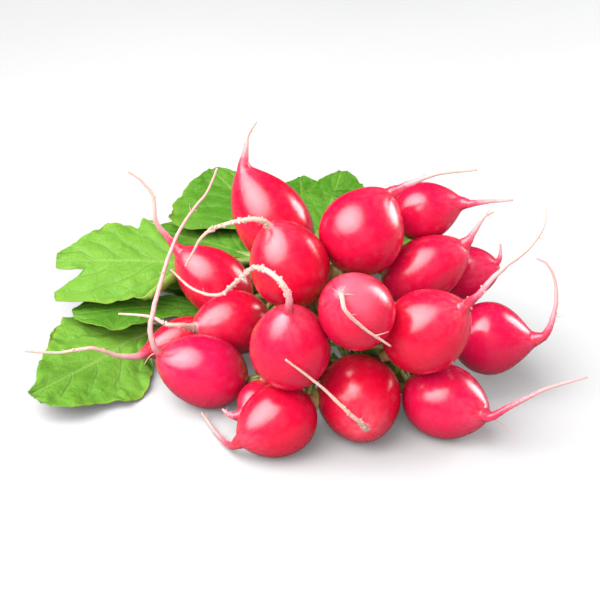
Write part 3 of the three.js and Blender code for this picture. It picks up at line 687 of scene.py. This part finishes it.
def makeStalk(look):
    material, tree, shader = newMaterial("leafStalk")
    coord, (_, _, run) = layerOf(tree, "coord")
    place = placeVector(tree)
    cloud = useGroup(tree, mottle, Vector=place, Scale=110.0)
    streak = useGroup(tree, mottle, Vector=stretched(tree, coord, look["streakStretch"]), Scale=2.0)
    spots = useGroup(tree, fleck, Vector=place, Scale=700.0, Size=0.25)
    crown = ramp(tree, run, look["pinkRun"], 0.0)
    feedAll(tree, shader, {
        "Base Color": stain(tree, look["green"], look, [
            (cloud, 0.6, "olive"), (streak, 0.4, "olive"), (crown, 0.5, "pink"), (spots, 0.3, "green"),
        ]),
        "Roughness": between(tree, streak, *look["roughness"]),
        "Subsurface Weight": look["flesh"],
        "Subsurface Scale": look["fleshDepth"],
    })
    addBump(tree, shader, streak, look)
    return material


# rubber of the band: dull tan with faint ridges and dust
rubberLook = {
    "tan": (0.25, 0.165, 0.07, 1),
    "shade": (0.18, 0.11, 0.042, 1),
    "dust": (0.31, 0.25, 0.165, 1),
    "ridges": 9.0,
    "roughness": (0.52, 0.67),
    "bump": 0.3,
    "bumpDepth": 0.0003,
}


def makeRubber(look):
    material, tree, shader = newMaterial("bandRubber")
    _, (_, breadth, _) = layerOf(tree, "coord")
    place = placeVector(tree)
    cloud = useGroup(tree, mottle, Vector=place, Scale=240.0)
    dust = useGroup(tree, fleck, Vector=place, Scale=900.0, Size=0.35)
    ridge = calc(tree, "SINE", times(tree, breadth, look["ridges"]))
    colour = mixColour(tree, cloud, look["tan"], look["shade"])
    feedAll(tree, shader, {
        "Base Color": stain(tree, colour, look, [(dust, 0.5, "dust")]),
        "Roughness": between(tree, cloud, *look["roughness"]),
    })
    addBump(tree, shader, plus(tree, times(tree, ridge, 0.4), cloud), look)
    return material


skinMaterial = makeSkin(skinLook)
bladeMaterial = makeBlade(bladeLook)
stalkMaterial = makeStalk(stalkLook)
rubberMaterial = makeRubber(rubberLook)
print("materials made")

# roots: round bodies running out into long tails with knots, hairs and rootlets
rootSetup = {
    "sides": 48,
    "bodyRings": 44,
    "tailStep": 0.7,
    "fewestTailRings": 12,
    "crownRings": [(1.6, 0.25), (2.8, 0.2)],  # radius and set-out of the rings inside the crown's rim
    "neck": 4.0,
    "bellyAt": 0.45,
    "tail": 1.4,
    "flare": 1.5,
    "flareLength": 4.5,
    "tip": 0.45,
    "taper": 1.2,
    "snug": 0.99,
    "slim": 0.88,
    "slimRun": 5,
    "dent": 0.012,
    "dentLength": 11.0,
    "knob": 0.16,
    "knobLength": 1.7,
    "sway": 0.24,
    "swayLength": 4.0,
    "ridgeLength": 1.5,
    "ridgeReach": 5.0,
    "pinkStart": -2.2,
    "pinkFade": 4,
    "whiteStart": (-0.6, 1.0),
    "crownFade": (1.8, -0.2),
    "paleSheenRun": (-19, -3),
    "sheenSide": (0.75, 0, 0.66),  # the side where a pale root carries its painted highlight
    "scarGrain": 1.3,
    "scarMark": (0.1, 0.5),
    "scarAt": 1.0,
    "scarReach": 2.6,
    "scarShare": 0.85,
    "growthStart": 0.4,
    "knotSize": (0.2, 0.42),
    "knotLean": 0.3,
    "knotScar": 0.6,
    "hairEnd": 0.95,
    "hairLength": (0.8, 2.6),
    "hairThick": 0.15,
    "hairLean": (0.1, 0.9),
    "hairBow": 0.35,
    "growthWhite": 0.3,
    "rootletWhite": 0.5,
}


def bodyRadius(plant, base, t):
    s = rootSetup
    half = plant["width"] / 2
    if t < s["bellyAt"]:
        body = half * math.sqrt(max(0, 1 - (1 - t / s["bellyAt"]) ** 2))
    else:
        fall = math.cos(math.pi / 2 * min(1, (t - s["bellyAt"]) / (1 - s["bellyAt"])))
        body = half * max(0, fall) ** plant["point"]
    return math.hypot(body, s["neck"] * (1 - t), base * t)


def tailRadius(thick, flare, q, tailLength):
    s = rootSetup
    flared = flare * math.exp(-q * tailLength / s["flareLength"]) * (1 - q)
    return s["tip"] + (thick - s["tip"]) * (1 - q) ** s["taper"] + flared


# stations from the crown to the tail's tip: run along the path, radius, sides, set-out of the middle
def rootStations(plant, bodyLength, tailLength):
    s = rootSetup
    thick, flare = plant.get("thick", s["tail"]), plant.get("flare", s["flare"])
    stations = [(0, radius, s["sides"], setOut) for radius, setOut in s["crownRings"]]
    for i in range(s["bodyRings"]):
        t = 0.5 - 0.5 * math.cos(math.pi * i / (s["bodyRings"] - 1))
        stations.append((t * bodyLength, bodyRadius(plant, thick + flare, t), s["sides"], 0))
    tailSteps = max(s["fewestTailRings"], round(tailLength / s["tailStep"]))
    for i in range(1, tailSteps + 1):
        q = i / tailSteps
        radius = tailRadius(thick, flare, q, tailLength)
        stations.append((bodyLength + q * tailLength, radius, s["sides"] // 2, 0))
    return stations


# how far the skin has turned white at one place; below zero it is the crown's green
def whiteAt(pink, run, past):
    s = rootSetup
    span = (s["pinkStart"], pink + s["pinkFade"]) if pink > 1 else s["whiteStart"]
    return smooth(*span, past) - smooth(*s["crownFade"], run)


def addKnots(draft, frames, touch, dice):
    s = rootSetup
    for _ in range(touch["knots"]):
        place = int(dice.uniform(*touch["knotSpan"]) * (len(frames) - 1))
        centre, heading, side, over, radius, past, white = frames[place]
        aim = around(side, over, dice.uniform(0, math.tau))
        size = dice.uniform(*s["knotSize"]) * touch["knotScale"]
        tone = (min(1, white + s["growthWhite"]), touch["magenta"], dice.random() ** 4 * s["knotScar"])
        lean = (aim + heading * s["knotLean"]).normalized()
        addKnot(draft, centre + aim * radius, lean, size, (0, 0, past), tone)


def addTailHairs(draft, frames, touch, dice):
    s = rootSetup
    for _ in range(touch["hairs"]):
        place = int(dice.random() * s["hairEnd"] * (len(frames) - 1))
        centre, heading, side, over, radius, past, white = frames[place]
        aim = around(side, over, dice.uniform(0, math.tau))
        aim = (aim + heading * dice.uniform(*s["hairLean"])).normalized()
        bow = Vector([dice.uniform(-s["hairBow"], s["hairBow"]) for _ in range(3)])
        length = dice.uniform(*s["hairLength"])
        tone = (min(1, white + s["growthWhite"]), touch["magenta"], 0)
        addHair(draft, centre + aim * radius * 0.5, aim, length, s["hairThick"], bow, (0, 0, past), tone)


def addRootlets(draft, frames, touch, number):
    for owner, run, aim, length, thick, bow in rootlets:
        if owner != number:
            continue
        centre, _, _, _, radius, past, white = min(frames, key=lambda f: abs(f[5] - run))
        aim = Vector(aim).normalized()
        tone = (min(1, white + rootSetup["rootletWhite"]), touch["magenta"], 0)
        addHair(draft, centre + aim * radius * 0.4, aim, length, thick, Vector(bow), (0, 0, past), tone, 6, 9)


# a drift in three directions, from the plain noise because noise_vector changes from run to run
def drift(place):
    return Vector([noise.noise(place + Vector((0, 0.47, 0.31 + 5.3 * axis))) for axis in range(3)])


def makeRoot(number, plant, touch):
    s = rootSetup
    dice = random.Random(number)
    shift = Vector((number * 7.3, number * 3.1, number * 5.7))
    sheenSide = Vector(s["sheenSide"])
    path = pathThrough([plant["crown"], plant["nose"], *plant["tail"]])
    bodyLength = path["runs"][curveSteps]
    tailLength = path["total"] - bodyLength
    across = headingAt(path, 0).cross(up).normalized()
    rings, tailFrames = [], []
    for run, radius, sides, setOut in rootStations(plant, bodyLength, tailLength):
        heading = headingAt(path, run)
        across = level(across, heading)
        over = heading.cross(across)
        past = run - bodyLength
        q = max(0, past / tailLength)
        onTail = smooth(0, s["slimRun"], past)
        sway = drift(Vector((run / s["swayLength"], number, 0))) * s["sway"] * onTail
        centre = pointAt(path, run) - heading * setOut + sway * (1 - 0.5 * q)
        white = whiteAt(touch["pink"], run, past)
        # a pale root is lighter towards the nose, partly its own paleness and partly a painted highlight
        paleAndSheen = touch["paleAndSheen"] * smooth(*s["paleSheenRun"], past)
        ridge = touch["ridge"] * math.cos(math.tau * past / s["ridgeLength"])
        ridge = 1 + ridge * math.exp(-(past / s["ridgeReach"]) ** 2) * smooth(-0.5, 0.5, past)
        fit = (s["snug"] + (s["slim"] - s["snug"]) * onTail) * ridge
        scarred = touch["scar"] * math.exp(-((past - s["scarAt"]) / s["scarReach"]) ** 2) * s["scarShare"]
        ring = []
        for turn in turnsOf(sides):
            aim = around(across, over, turn)
            spot = centre + aim * radius
            dent = noise.noise(spot / s["dentLength"] + shift) * s["dent"] * (1 - onTail)
            knob = noise.noise(spot / s["knobLength"] + shift) * s["knob"] * onTail
            spot = centre + aim * radius * (fit + dent + knob)
            scar = smooth(*s["scarMark"], noise.noise(spot / s["scarGrain"] + shift * 2)) * scarred
            # the painted highlight is strongest on the side facing the light
            pale = max(white, paleAndSheen * smooth(-0.6, 0.6, aim.dot(sheenSide)))
            ring.append((spot, (math.cos(turn), math.sin(turn), past), (pale, touch["magenta"], scar)))
        rings.append(ring)
        if past > s["growthStart"]:
            tailFrames.append((centre, heading, across, over, radius * s["slim"], past, white))
    draft = newDraft()
    addSkin(draft, rings)
    addKnots(draft, tailFrames, touch, dice)
    addTailHairs(draft, tailFrames, touch, dice)
    addRootlets(draft, tailFrames, touch, number)
    makePiece(f"radish_{number:02d}", draft, [skinMaterial], f"root_{number:02d}")


for index, (plant, touch) in enumerate(zip(plants, touches)):
    makeRoot(index + 1, plant, touch)
print("roots made:", len(plants))

# leaves: a grooved stalk from the crown through the band, running on as the midrib of a crinkled blade
leafSetup = {
    "bandCentre": (2, 16, 13),
    "bandHeading": 120,
    "columnPitch": 4.8,
    "rowPitch": 4.6,
    "middleRow": 2,
    "stalkRun": 6,
    "gap": 0.4,
    "lead": 2.5,
    "stalk": 1.7,
    "crownFlare": 1.4,
    "crownFlareLength": 4,
    "groove": 0.26,
    "grooveWidth": 0.55,
    "stalkSides": 14,
    "stalkStep": 1.6,
    "ribEnd": 0.88,
    "ribTaper": 0.72,
    "ribSink": 0.75,
    "rows": 84,
    "rowCrowding": 1.15,
    "columns": 18,
    "rollColumns": 5,
    "rollRadius": 0.5,
    "rollTurn": 12,
    "blendStart": 0.15,
    "blendRate": 4,
    "thick": 0.62,
    "thin": 0.34,
    "tipWidth": 1.6,
    "sweep": 0.3,
    "teeth": 10.0,
    "toothDepth": 0.035,
    "edgeWave": 0.6,
    "edgeWaves": 4,
    "swell": 0.9,
    "swellX": 13,
    "swellY": 17,
    "ripple": 0.22,
    "rippleLength": 9,
    "pucker": 0.9,
    "crease": 0.6,
    "wideCrease": 4.5,
    "fineCrease": 2.2,
    # strength of the painted shade in the blade's hollows
    "hollowShade": 0.8,
    "hairs": 46,
    "hairsOnStalk": 0.55,
    "stalkHair": (0.6, 1.2),
    "stalkHairThick": 0.07,
    "edgeHair": (0.5, 0.9),
    "edgeHairThick": 0.06,
}
# outline of a plain blade: share of its length, share of its half width there
plainLeft = [(0, 0.2), (0.15, 0.36), (0.28, 0.6), (0.4, 0.72), (0.55, 1), (0.7, 0.84), (0.82, 0.8),
             (0.93, 0.5), (1, 0.1)]
plainRight = [(0, 0.2), (0.12, 0.34), (0.25, 0.5), (0.35, 0.74), (0.5, 1), (0.62, 0.86), (0.75, 0.9),
              (0.9, 0.6), (1, 0.1)]
# rolled edges: leaf, side, share of the blade where the roll is tightest, its spread, radius, degrees
edgeRolls = [
    (1, -1, 0.16, 0.12, 2.4, 215),
    (1, 1, 0.62, 0.10, 1.2, 70),
    (5, 1, 0.42, 0.12, 1.2, 80),
    (9, -1, 0.40, 0.14, 1.4, 80),
    (10, 1, 0.55, 0.12, 1.2, 80),
]
bladeFinish, stalkFinish = 0, 1  # places of the two materials in a leaf's list
bandTurn = math.radians(leafSetup["bandHeading"])
bandAlong = Vector((math.cos(bandTurn), math.sin(bandTurn), 0))
bandAcross = bandAlong.cross(up)
bandCentre = Vector(leafSetup["bandCentre"])


# the leaf's path from the crown to the tip, and the run along it where the blade starts
def leafPath(plant):
    s, leaf = leafSetup, plant["leaf"]
    angle, reach, blade, tip = (leaf[key] for key in ("angle", "reach", "blade", "tip"))
    bend = leaf.get("bend", 0)
    crown = Vector(plant["crown"])
    out = (crown - Vector(plant["nose"])).normalized()
    slot = bandCentre + bandAcross * plant["column"] * s["columnPitch"]
    slot.z += (plant["row"] - s["middleRow"]) * s["rowPitch"]

    def spot(degrees, far, height):
        turn = math.radians(degrees)
        return Vector((bandCentre.x + far * math.cos(turn), bandCentre.y + far * math.sin(turn), height))

    stalk = [crown + out * s["gap"], crown + out * (s["gap"] + s["lead"]), *plant["stalk"],
             slot - bandAlong * s["stalkRun"], slot + bandAlong * s["stalkRun"],
             spot(angle - bend, reach - blade, slot.z)]
    middle = spot(angle - bend / 3, reach - blade / 2, (slot.z + tip) / 2)
    path = pathThrough([*stalk, middle, spot(angle, reach, tip)])
    return path, path["runs"][curveSteps * (len(stalk) - 1)]


# width from the middle to one edge, flowing through the outline's stops without overshoot
def halfWidth(leaf, q, side):
    s = leafSetup
    edge = leaf.get("right", plainRight) if side > 0 else leaf.get("left", plainLeft)
    i = 1
    while i < len(edge) - 1 and edge[i][0] < q:
        i += 1
    slopes = [(b[1] - a[1]) / (b[0] - a[0]) for a, b in zip(edge, edge[1:])]

    def bend(k):
        if k == 0 or k == len(slopes):
            return slopes[min(k, len(slopes) - 1)]
        before, after = slopes[k - 1], slopes[k]
        return 2 * before * after / (before + after) if before * after > 0 else 0

    run = edge[i][0] - edge[i - 1][0]
    w = (q - edge[i - 1][0]) / run
    share = (edge[i - 1][1] * (2 * w ** 3 - 3 * w ** 2 + 1) + bend(i - 1) * run * (w ** 3 - 2 * w ** 2 + w)
             + edge[i][1] * (3 * w ** 2 - 2 * w ** 3) + bend(i) * run * (w ** 3 - w ** 2))
    notch = 1 - s["toothDepth"] * (1 - abs(math.sin(math.pi * s["teeth"] * q + side)) ** 0.6)
    return max(s["tipWidth"] * math.sqrt(max(0.02, 1 - q ** 24)), leaf["half"] * share * notch)


# how far the blade leans forward for each millimetre outward; a hooked lobe on the left leans more
def forwardLean(leaf, q, side):
    lean = leafSetup["sweep"] * (1 - q * q)
    hook = leaf.get("hook")
    if hook and side < 0:
        lean += hook["lean"] * math.exp(-((q - hook["at"]) / hook["spread"]) ** 2)
    return lean


# the curled strip beyond one edge point, as (point, normal) pairs from the edge outward
def edgeRoll(number, side, q, edge, outward, over):
    s = leafSetup
    radius, turn = s["rollRadius"], math.radians(s["rollTurn"])
    for owner, rollSide, at, spread, tightRadius, tightTurn in edgeRolls:
        if owner == number and rollSide == side:
            share = math.exp(-((q - at) / spread) ** 2)
            radius += (tightRadius - s["rollRadius"]) * share
            turn += math.radians(tightTurn) * share
    strip = []
    for k in range(1, s["rollColumns"] + 1):
        a = turn * k / s["rollColumns"]
        inward = over * math.cos(a) - outward * math.sin(a)
        strip.append((edge + over * radius - inward * radius, inward))
    return strip


# young leaves at the crown: short stalks with a small folded blade, kept clear of the roots, their green
# darkened as painted shade for the gaps between the roots
youngSetup = {
    "tries": 24,
    "most": 7,
    "setOff": 0.4,
    "ring": 2.4,
    "stalk": (3, 9),
    "thick": 1.0,
    "length": (9, 18),
    "half": 4.2,
    "spread": (0.2, 1.3),
    "fold": 0.35,
    "skin": 0.2,
    "crinkle": 0.6,
    "crinkleLength": 2.5,
    "rows": 10,
    "columns": (-1, -0.6, -0.2, 0.2, 0.6, 1),
    "clear": 0.5,
    "tailAllowance": 2,
    # darkens the young leaves' green by half: painted shade for the gaps between the roots
    "light": 0.5,
}


def nearRoot(point):
    clear = youngSetup["clear"]
    if point.z < clear:
        return True
    for plant in plants:
        crown = Vector(plant["crown"])
        axis = Vector(plant["nose"]) - crown
        t = (point - crown).dot(axis) / axis.length_squared
        radius = bodyRadius(plant, youngSetup["tailAllowance"], t) if 0 < t < 1 else -clear
        if (point - crown - axis * t).length < radius + clear:
            return True
    return False


def addYoungLeaves(draft, plant, light, dice):
    s = youngSetup
    crown = Vector(plant["crown"])
    out = (crown - Vector(plant["nose"])).normalized()
    side = out.orthogonal().normalized()
    grown = 0
    for _ in range(s["tries"]):
        away = around(side, out.cross(side), dice.uniform(0, math.tau))
        aim = (out + away * dice.uniform(*s["spread"])).normalized()
        start = crown + out * s["setOff"] + away * s["ring"]
        reach, length = dice.uniform(*s["stalk"]), dice.uniform(*s["length"])
        across = aim.cross(away).normalized()
        over = across.cross(aim)
        middles = [start + aim * (reach + length * w) for w in (0, 0.25, 0.5, 0.75, 1)]
        rim = [middle + across * s["half"] * u for middle in middles for u in (-1, 0, 1)]
        if grown == s["most"] or any(nearRoot(spot) for spot in rim):
            continue
        grown += 1
        addHair(draft, start, aim, reach + length * 0.5, s["thick"], Vector(), (0, 0, 4), (light, 0, 0),
                8, 6, stalkFinish)
        rings = []
        for i in range(s["rows"] + 1):
            w = i / s["rows"]
            half = max(0.25, s["half"] * math.sin(math.pi * w ** 0.8))
            row = []
            for u in s["columns"]:
                spot = start + aim * (reach + length * w) + across * half * u
                spot = spot + over * abs(u) * half * s["fold"]
                crinkle = noise.noise(spot / s["crinkleLength"]) * s["crinkle"]
                row.append((spot + over * crinkle, (u, w, 0)))
            rings.append([(p + over * s["skin"], c, (light, 0, 0)) for p, c in row]
                         + [(p - over * s["skin"], c, (light, 1, 0)) for p, c in row[::-1]])
        addSkin(draft, rings, bladeFinish)


# stations along a leaf: run, heading, direction across, direction over, and whether the blade has begun
def leafFrames(path, stalkLength):
    s = leafSetup
    bladeLength = path["total"] - stalkLength
    stalkCount = round(stalkLength / s["stalkStep"])
    shares = [1 - (1 - i / s["rows"]) ** s["rowCrowding"] for i in range(s["rows"] + 1)]
    runs = [stalkLength * i / stalkCount for i in range(stalkCount)]
    runs += [stalkLength + bladeLength * share for share in shares]
    frames = []
    across = None
    for run in reversed(runs):
        heading = headingAt(path, run)
        onBlade = run >= stalkLength
        across = heading.cross(up).normalized() if onBlade else level(across, heading)
        frames.insert(0, (run, heading, across, across.cross(heading), onBlade))
    return frames


def swellAt(point):
    s = leafSetup
    return s["swell"] * math.sin(point.x / s["swellX"]) * math.cos(point.y / s["swellY"])


# one ring of the stalk or midrib, grooved on top and sinking under the blade
def stalkRing(centre, run, q, across, over, light):
    s = leafSetup
    stem = s["stalk"] + s["crownFlare"] * math.exp(-run / s["crownFlareLength"])
    stem = stem * (1 - smooth(0, 0.45, q) * 0.5) * (1 - s["ribTaper"] * q)
    sink = over * stem * s["ribSink"] * smooth(0.02, 0.3, q)
    ring = []
    for turn in turnsOf(s["stalkSides"]):
        off = (turn - math.pi / 2 + math.pi) % math.tau - math.pi
        dip = 1 - s["groove"] * math.exp(-(off / s["grooveWidth"]) ** 2)
        spot = centre - sink + around(across, over, turn) * stem * dip
        ring.append((spot, (math.cos(turn), math.sin(turn), run), (light, 0, 0)))
    return ring


# a place on the blade, u from edge to edge: its point, the ripple of its veins, how deep it lies, which sets
# the painted shade of its hollow
def bladePoint(leaf, crinkle, shift, middle, frame, q, blend, u):
    s = leafSetup
    _, heading, across, over, _ = frame
    roll = math.radians(leaf.get("roll", 0))
    wide = u * halfWidth(leaf, q, u)
    wave = s["edgeWave"] * u * u * math.sin(math.tau * s["edgeWaves"] * q + u)
    spot = middle + across * wide * blend * math.cos(roll)
    spot = spot + heading * forwardLean(leaf, q, u) * abs(wide) * blend
    spot.z += blend * (wave + wide * math.sin(roll) + swellAt(spot))
    ripple = s["ripple"] * noise.noise(spot / s["rippleLength"] + shift)
    vein = q * bladeLook["sideVeins"] - abs(u) * bladeLook["slant"] + ripple
    tuck = abs(math.sin(math.pi * (vein + 0.5))) ** 0.7
    side = smooth(0.03, 0.3, abs(u)) * (1 - 0.5 * u * u)
    crease = noise.noise(spot / s["wideCrease"] + shift) + 0.5 * noise.noise(spot / s["fineCrease"] + shift)
    lift = s["pucker"] * (tuck - 0.5) * side + s["crease"] * crease * smooth(0, 0.5, abs(u))
    return spot + over * lift * blend * crinkle, ripple, smooth(0.4, 0.0, tuck) * side * s["hollowShade"]


# short stiff hairs on the stalk and along the edge
def addStiffHairs(draft, stalkRings, edges, light, dice):
    s = leafSetup
    for _ in range(s["hairs"]):
        if dice.random() < s["hairsOnStalk"]:
            ring = stalkRings[int(dice.random() * len(stalkRings))]
            spot, coord, tone = ring[int(dice.random() * len(ring))]
            centre = sum((p[0] for p in ring), Vector()) / len(ring)
            aim = (spot - centre).normalized()
            length, thick, finish = dice.uniform(*s["stalkHair"]), s["stalkHairThick"], stalkFinish
        else:
            spot, outward, over = edges[int(dice.random() * len(edges))]
            coord, tone = (1, 0, 0), (light, 1, 0)
            aim = (outward + over * 0.4).normalized()
            length, thick, finish = dice.uniform(*s["edgeHair"]), s["edgeHairThick"], bladeFinish
        addHair(draft, spot, aim, length, thick, Vector(), coord, tone, 3, 2, finish)


def makeLeaf(number, plant, touch):
    s, leaf, light = leafSetup, plant["leaf"], touch["light"]
    dice = random.Random(100 + number)
    shift = Vector((number * 5.1, number * 9.7, 0))
    path, stalkLength = leafPath(plant)
    bladeLength = path["total"] - stalkLength
    bladeRings, stalkRings, edges = [], [], []
    for frame in leafFrames(path, stalkLength):
        run, _, across, over, onBlade = frame
        q = max(0, (run - stalkLength) / bladeLength)
        blend = min(1, q * s["blendRate"] + s["blendStart"]) if onBlade else 0
        middle = pointAt(path, run)
        if q < s["ribEnd"]:
            stalkRings.append(stalkRing(middle + up * blend * swellAt(middle), run, q, across, over, light))
        if not onBlade:
            continue
        topRow, lowRow = [], []
        for c in range(-s["columns"], s["columns"] + 1):
            u = c / s["columns"]
            spot, ripple, hollowShade = bladePoint(leaf, touch["crinkle"], shift, middle, frame, q, blend, u)
            thick = (s["thick"] + (s["thin"] - s["thick"]) * u * u) / 2
            strip = [(spot, over, u)]
            if abs(u) == 1:
                curl = edgeRoll(number, u, q, spot, across * u, over)
                strip += [(p, n, u + u * 0.02 * (k + 1)) for k, (p, n) in enumerate(curl)]
                edges.append((curl[-1][0], across * u, over))
                strip = strip if u > 0 else strip[::-1]
            for point, normal, shareOut in strip:
                coord = (shareOut, q, ripple)
                topRow.append((point + normal * thick, coord, (light, 0, hollowShade)))
                lowRow.append((point - normal * thick, coord, (light, 1, hollowShade)))
        bladeRings.append(topRow + lowRow[::-1])
    draft = newDraft()
    addSkin(draft, stalkRings, stalkFinish)
    addSkin(draft, bladeRings, bladeFinish)
    addYoungLeaves(draft, plant, light * youngSetup["light"], dice)
    addStiffHairs(draft, stalkRings, edges, light, dice)
    makePiece(f"leafyStem_{number:02d}", draft, [bladeMaterial, stalkMaterial], f"leaf_{number:02d}")


for index, (plant, touch) in enumerate(zip(plants, touches)):
    makeLeaf(index + 1, plant, touch)
print("leaves made:", len(plants))

# the band: a soft-edged strip round the stalks
bandSetup = {
    "halfWidth": 10,
    "low": 1.2,
    "high": 24.6,
    "corner": 3.2,
    "thick": 1.2,
    "breadth": 5,
    "cornerSteps": 10,
    "sideSteps": 12,
    "sectionSteps": 20,
    "flatness": 0.35,
    "roundness": 0.6,
    "snug": 0.98,
}


# stops round the band's inner line: place across, height, and the turn that faces outward
def bandStops():
    s = bandSetup
    corner = s["corner"]
    reach, low, high = s["halfWidth"] - corner, s["low"] + corner, s["high"] - corner
    corners = [(reach, low, -90), (reach, high, 0), (-reach, high, 90), (-reach, low, 180)]
    stops = []
    for i, (x, z, start) in enumerate(corners):
        for step in range(s["cornerSteps"] + 1):
            turn = math.radians(start + 90 * step / s["cornerSteps"])
            stops.append((x + corner * math.cos(turn), z + corner * math.sin(turn), turn))
        nextX, nextZ, _ = corners[(i + 1) % 4]
        turn = math.radians(start + 90)
        fromX, fromZ, _ = stops[-1]
        toX, toZ = nextX + corner * math.cos(turn), nextZ + corner * math.sin(turn)
        for step in range(1, s["sideSteps"]):
            w = step / s["sideSteps"]
            stops.append((fromX + (toX - fromX) * w, fromZ + (toZ - fromZ) * w, turn))
    return stops


def makeBand():
    s = bandSetup
    halfThick, halfBreadth = s["thick"] / 2, s["breadth"] / 2
    draft = newDraft()
    base = Vector((bandCentre.x, bandCentre.y, 0))
    rows = []
    for k, (x, z, turn) in enumerate(bandStops()):
        outward = around(bandAcross, up, turn)
        centre = base + bandAcross * x + up * z + outward * halfThick
        row = []
        for a in turnsOf(s["sectionSteps"]):
            flat = math.copysign(abs(math.cos(a)) ** s["flatness"], math.cos(a))
            deep = math.copysign(abs(math.sin(a)) ** s["roundness"], math.sin(a))
            spot = centre + bandAlong * flat * halfBreadth + outward * deep * halfThick * s["snug"]
            row.append(addPoint(draft, spot, (k, flat * halfBreadth, deep), (0, 0, 0)))
        rows.append(row)
    for row, following in zip(rows, rows[1:] + rows[:1]):
        for j in range(len(row)):
            n = (j + 1) % len(row)
            addFace(draft, (row[j], following[j], following[n], row[n]), 0)
    makePiece("stalkBand", draft, [rubberMaterial], "band")


makeBand()
print("band made")

# pale floor, darker where the skins mirror it, and soft light
floorSetup = {
    "half": 3000,
    "colour": (0.28, 0.28, 0.28, 1),
    "patch": (0.25, 0.25, 0.253, 1),
    "patchScale": 2.0,
    "mirrored": (0.07, 0.07, 0.07, 1),
    "roughness": 0.8,
    "drop": 0.05,
    "glow": 0.05,
}
softboxes = {
    "keySoftbox": {"place": (-490, -260, 780), "aim": (0, -40, 45), "size": (1350, 1350),
                   "power": 19.5, "spread": 100, "gloss": True},
    "sideSoftbox": {"place": (600, 280, 270), "aim": (0, -40, 50), "size": (340, 480),
                    "power": 6.0, "spread": 180, "gloss": True},
    "frontFill": {"place": (100, -900, 500), "aim": (0, -40, 40), "size": (900, 900),
                  "power": 15.0, "spread": 180, "gloss": False},
}
skyStrength = 0.32
white = (1, 1, 1, 1)


def makeFloor(setup):
    material, tree, shader = newMaterial("paleFloor")
    cloud = useGroup(tree, mottle, Vector=placeVector(tree), Scale=setup["patchScale"])
    shade = mixColour(tree, cloud, setup["colour"], setup["patch"])
    glossy = put(tree, "ShaderNodeLightPath").outputs["Is Glossy Ray"]
    feedAll(tree, shader, {
        "Base Color": mixColour(tree, glossy, shade, setup["mirrored"]),
        "Roughness": setup["roughness"],
        "Emission Color": white,
        "Emission Strength": setup["glow"],
    })
    h, z = setup["half"] * mm, -setup["drop"] * mm
    mesh = bpy.data.meshes.new("paleFloor")
    mesh.from_pydata([(-h, -h, z), (h, -h, z), (h, h, z), (-h, h, z)], [], [(0, 1, 2, 3)])
    mesh.materials.append(material)
    floor = bpy.data.objects.new("paleFloor", mesh)
    bpy.context.scene.collection.objects.link(floor)


def makeLights():
    for name, setup in softboxes.items():
        light = bpy.data.lights.new(name, "AREA")
        light.shape = "ELLIPSE"
        light.size, light.size_y = (side * mm for side in setup["size"])
        light.energy = setup["power"]
        light.spread = math.radians(setup["spread"])
        holder = setUp(name, light, setup)
        holder.visible_camera = False
        holder.visible_glossy = setup["gloss"]
    world = bpy.data.worlds.new("studioSky")
    world.use_nodes = True
    feedAll(world.node_tree, world.node_tree.nodes["Background"], {"Color": white, "Strength": skyStrength})
    world.cycles_visibility.glossy = False
    bpy.context.scene.world = world
    bpy.context.scene.view_settings.view_transform = "Standard"


makeFloor(floorSetup)
makeLights()
print("floor and lights made")
